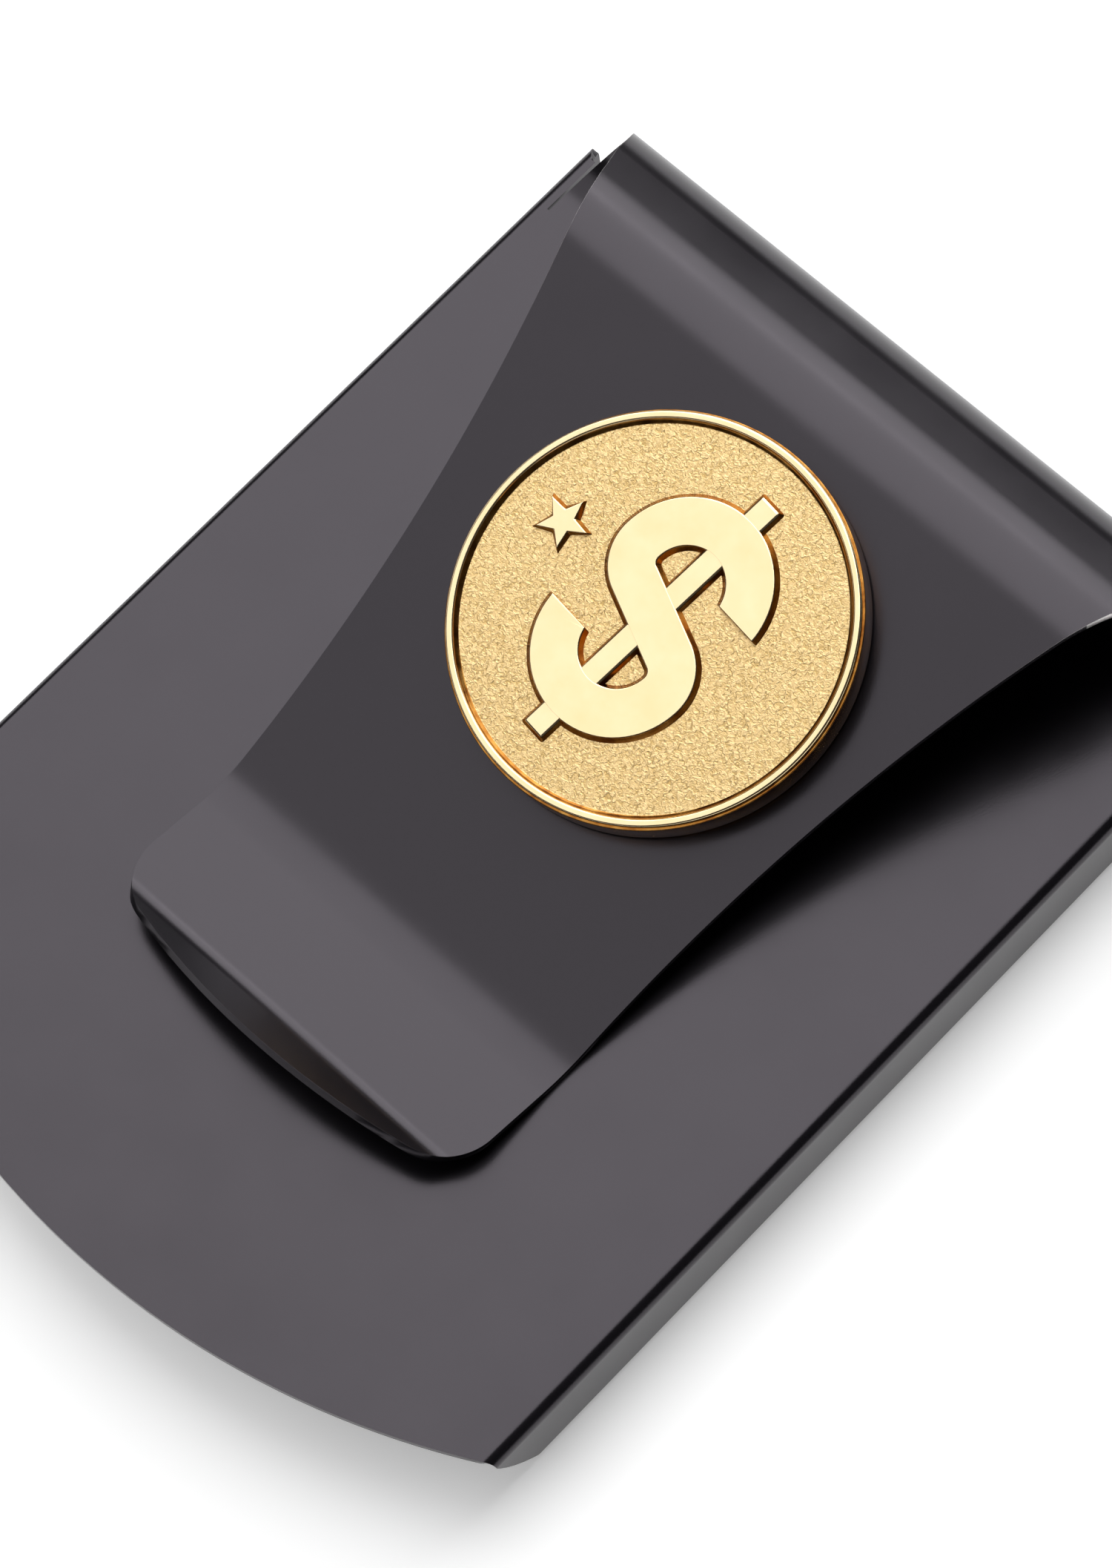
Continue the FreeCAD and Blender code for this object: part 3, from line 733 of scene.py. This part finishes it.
enamel_shader = add_node(
    tree, "ShaderNodeBsdfPrincipled", sockets={"IOR": 1.52, "Specular Tint": (0.98, 0.9, 1, 1)},
    links={
        "Base Color": shade.outputs["Color"],
        "Roughness": gloss.outputs["Result"],
        "Normal": grain.outputs["Normal"],
    },
)
finish_with(tree, enamel_shader)

# %% [markdown]
# ### Painted edge highlight
#
# Along the arm's upper edges near the fold, a bright bare-steel colour paints the edge's highlight as a
# hair-thin bright line that fades out down the arm.

# %% Painted edge highlight
HIGHLIGHT_FADES, HIGHLIGHT_FULL = 22 * MM, 31 * MM
HIGHLIGHT_BREAKUP_SIZE = 0.4 * MM

painted_edge_highlight, tree = new_finish("painted_edge_highlight_steel")
place = add_node(tree, "ShaderNodeTexCoord").outputs["Object"]
along = add_node(tree, "ShaderNodeSeparateXYZ", links={"Vector": place}).outputs["Y"]
highlight_breakup = add_node(
    tree, "ShaderNodeTexNoise", sockets={"Scale": 1 / HIGHLIGHT_BREAKUP_SIZE, "Detail": 3}, links={"Vector": place}
)
highlight_fade = add_node(
    tree, "ShaderNodeMapRange", sockets={"From Min": HIGHLIGHT_FADES, "From Max": HIGHLIGHT_FULL},
    links={"Value": along},
)
patchy = add_node(
    tree, "ShaderNodeMapRange", sockets={"From Min": 0.25, "From Max": 0.5, "To Min": 0.6, "To Max": 1},
    links={"Value": highlight_breakup.outputs["Fac"]},
)
highlight_share = add_node(
    tree, "ShaderNodeMath", {"operation": "MULTIPLY"},
    links={0: highlight_fade.outputs["Result"], 1: patchy.outputs["Result"]},
)
# Black enamel where the painted highlight fades out, bright steel where it is full.
tone = ramp(tree, highlight_share.outputs["Value"], [(0.0, "#0d0c0e"), (1.0, "#e2dedc")])
finish_with(
    tree,
    add_node(
        tree, "ShaderNodeBsdfPrincipled", sockets={"Roughness": 0.32},
        links={"Base Color": tone.outputs["Color"], "Metallic": highlight_share.outputs["Value"]},
    ),
)

# %% [markdown]
# ### Polished and frosted gold plate
#
# The medallion is brass, struck and then plated. Polished dies leave the rim and the sign bright. The field
# of the die was blasted, which leaves a fine wrinkled frost of about 0.25 mm that scatters the light.

# %% Gold
FROST_SIZE, SWIRL_SIZE = 0.24 * MM, 2.5 * MM

polished_gold, tree = new_finish("polished_gold_plate")
place = add_node(tree, "ShaderNodeTexCoord").outputs["Object"]
swirl = add_node(
    tree, "ShaderNodeTexNoise", sockets={"Scale": 1 / SWIRL_SIZE, "Detail": 4, "Roughness": 0.65},
    links={"Vector": place},
)
tone = ramp(tree, swirl.outputs["Fac"], [(0.3, "#f1d7a6"), (0.7, "#f6deb2")])
gloss = add_node(
    tree, "ShaderNodeMapRange",
    sockets={"From Min": 0.3, "From Max": 0.7, "To Min": 0.13, "To Max": 0.2},
    links={"Value": swirl.outputs["Fac"]},
)
handling = add_node(
    tree, "ShaderNodeBump", sockets={"Strength": 0.15, "Distance": 0.01 * MM},
    links={"Height": swirl.outputs["Fac"]},
)
finish_with(
    tree,
    add_node(
        tree, "ShaderNodeBsdfPrincipled", sockets={"Metallic": 1},
        links={
            "Base Color": tone.outputs["Color"],
            "Roughness": gloss.outputs["Result"],
            "Normal": handling.outputs["Normal"],
        },
    ),
)

frosted_gold, tree = new_finish("frosted_gold_plate")
place = add_node(tree, "ShaderNodeTexCoord").outputs["Object"]
wander = add_node(
    tree, "ShaderNodeTexNoise",
    sockets={"Scale": 1 / FROST_SIZE, "Detail": 2, "Roughness": 0.5, "Distortion": 1.2},
    links={"Vector": place},
)
tone = ramp(tree, wander.outputs["Fac"], [(0.3, "#bf9f66"), (0.65, "#e8ca94")])
frost = add_node(
    tree, "ShaderNodeBump", sockets={"Strength": 0.9, "Distance": 0.07 * MM},
    links={"Height": wander.outputs["Fac"]},
)
finish_with(
    tree,
    add_node(
        tree, "ShaderNodeBsdfPrincipled", sockets={"Metallic": 1, "Roughness": 0.38},
        links={"Base Color": tone.outputs["Color"], "Normal": frost.outputs["Normal"]},
    ),
)

# %% [markdown]
# ### Shaded gold walls
#
# The steep sides of the relief, the inside of the rim and the disc's edge get a dark, brownish gold. That
# colour is painted shade and dark reflection on these walls, and it outlines the sign.

# %% Shaded gold walls
WALL_SHADE_MOTTLE_SIZE = 1.2 * MM

shaded_gold_walls, tree = new_finish("painted_shade_gold_walls")
place = add_node(tree, "ShaderNodeTexCoord").outputs["Object"]
wall_shade_mottle = add_node(
    tree, "ShaderNodeTexNoise", sockets={"Scale": 1 / WALL_SHADE_MOTTLE_SIZE, "Detail": 4, "Roughness": 0.6},
    links={"Vector": place},
)
# Dark brownish gold with a random mottle: painted shade for the walls.
tone = ramp(tree, wall_shade_mottle.outputs["Fac"], [(0.35, "#7a4a20"), (0.5, "#a06c30"), (0.68, "#b98a48")])
gloss = add_node(
    tree, "ShaderNodeMapRange",
    sockets={"From Min": 0.3, "From Max": 0.7, "To Min": 0.16, "To Max": 0.28},
    links={"Value": wall_shade_mottle.outputs["Fac"]},
)
finish_with(
    tree,
    add_node(
        tree, "ShaderNodeBsdfPrincipled", sockets={"Metallic": 1},
        links={"Base Color": tone.outputs["Color"], "Roughness": gloss.outputs["Result"]},
    ),
)

# %% [markdown]
# ### Acrylic bonding film
#
# A thin grey film. Only its edge shows, as a dull line under the medallion, with a faint mottle of air.

# %% Bonding film
MOTTLE_SIZE = 0.5 * MM

bonding_film, tree = new_finish("acrylic_bonding_film")
place = add_node(tree, "ShaderNodeTexCoord").outputs["Object"]
mottle = add_node(
    tree, "ShaderNodeTexNoise", sockets={"Scale": 1 / MOTTLE_SIZE, "Detail": 2}, links={"Vector": place}
)
tone = ramp(tree, mottle.outputs["Fac"], [(0.35, "#3b3b3c"), (0.65, "#4a4a4a")])
finish_with(
    tree,
    add_node(
        tree, "ShaderNodeBsdfPrincipled", sockets={"Roughness": 0.55, "IOR": 1.47},
        links={"Base Color": tone.outputs["Color"]},
    ),
)

# %% Give out the finishes
gold_finishes = [polished_gold, frosted_gold, shaded_gold_walls]
for piece, finishes in (
    (back_plate, [black_enamel]),
    (spring_arm, [black_enamel, painted_edge_highlight]),
    (medallion_blank, gold_finishes),
    (dollar_sign, gold_finishes),
    (dollar_bar, gold_finishes),
    (star_relief, gold_finishes),
):
    for finish in finishes:
        piece.data.materials.append(finish)
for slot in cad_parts["adhesive_disc"].material_slots:
    slot.material = bonding_film

# %% [markdown]
# ## Studio
#
# A white table under the clip and three soft panels above its left. Satin black shows almost nothing but
# reflections, so the panels are placed where each surface mirrors them into the camera, and the right side of
# the studio is left dark. The table glows a little, so that it stays white beside such dark steel.

# %% Floor
TABLE_SIZE, TABLE_GRAIN, TABLE_GLOW = 6, 25 * MM, 0.34
bpy.ops.mesh.primitive_plane_add(size=TABLE_SIZE)
floor = bpy.context.object
floor.name = "studio_floor"
floor_paint, tree = new_finish("white_floor_paint")
place = add_node(tree, "ShaderNodeTexCoord").outputs["Object"]
mottle = add_node(
    tree, "ShaderNodeTexNoise", sockets={"Scale": 1 / TABLE_GRAIN, "Detail": 2}, links={"Vector": place}
)
tone = ramp(tree, mottle.outputs["Fac"], [(0.3, "#f4f4f4"), (0.7, "#f6f6f6")])
finish_with(
    tree,
    add_node(
        tree, "ShaderNodeBsdfPrincipled",
        sockets={"Roughness": 0.8, "Emission Color": (1, 1, 1, 1), "Emission Strength": TABLE_GLOW},
        links={"Base Color": tone.outputs["Color"]},
    ),
)
floor.data.materials.append(floor_paint)

# %% Lights
ROOM_LIGHT = 0.05
studio = bpy.data.worlds.new("studio")
studio.use_nodes = True
studio.node_tree.nodes["Background"].inputs["Color"].default_value = (1, 1, 1, 1)
studio.node_tree.nodes["Background"].inputs["Strength"].default_value = ROOM_LIGHT
bpy.context.scene.world = studio
bpy.context.scene.view_settings.view_transform = "Standard"


def soft_panel(name, place, aim, size, radiance):
    """A soft panel at a place, turned to face another, as bright as given. Metres."""
    lamp = bpy.data.lights.new(name, "AREA")
    lamp.shape = "RECTANGLE"
    lamp.size, lamp.size_y = size
    lamp.energy = 4 * size[0] * size[1] * radiance
    panel = bpy.data.objects.new(name, lamp)
    panel.location = place
    panel.rotation_euler = (Vector(place) - Vector(aim)).to_track_quat("Z", "Y").to_euler()
    bpy.context.scene.collection.objects.link(panel)


soft_panel("overhead_panel", (-0.55, 0.5, 0.9), (-0.55, 0.5, 0), (1.3, 1.0), 2.15)
soft_panel("front_panel", (-0.55, -0.5, 0.9), (-0.55, -0.5, 0), (1.3, 0.98), 0.97)
soft_panel("back_panel", (-0.3, 0.95, 0.62), (0, 0, 0), (1.1, 0.42), 2.4)
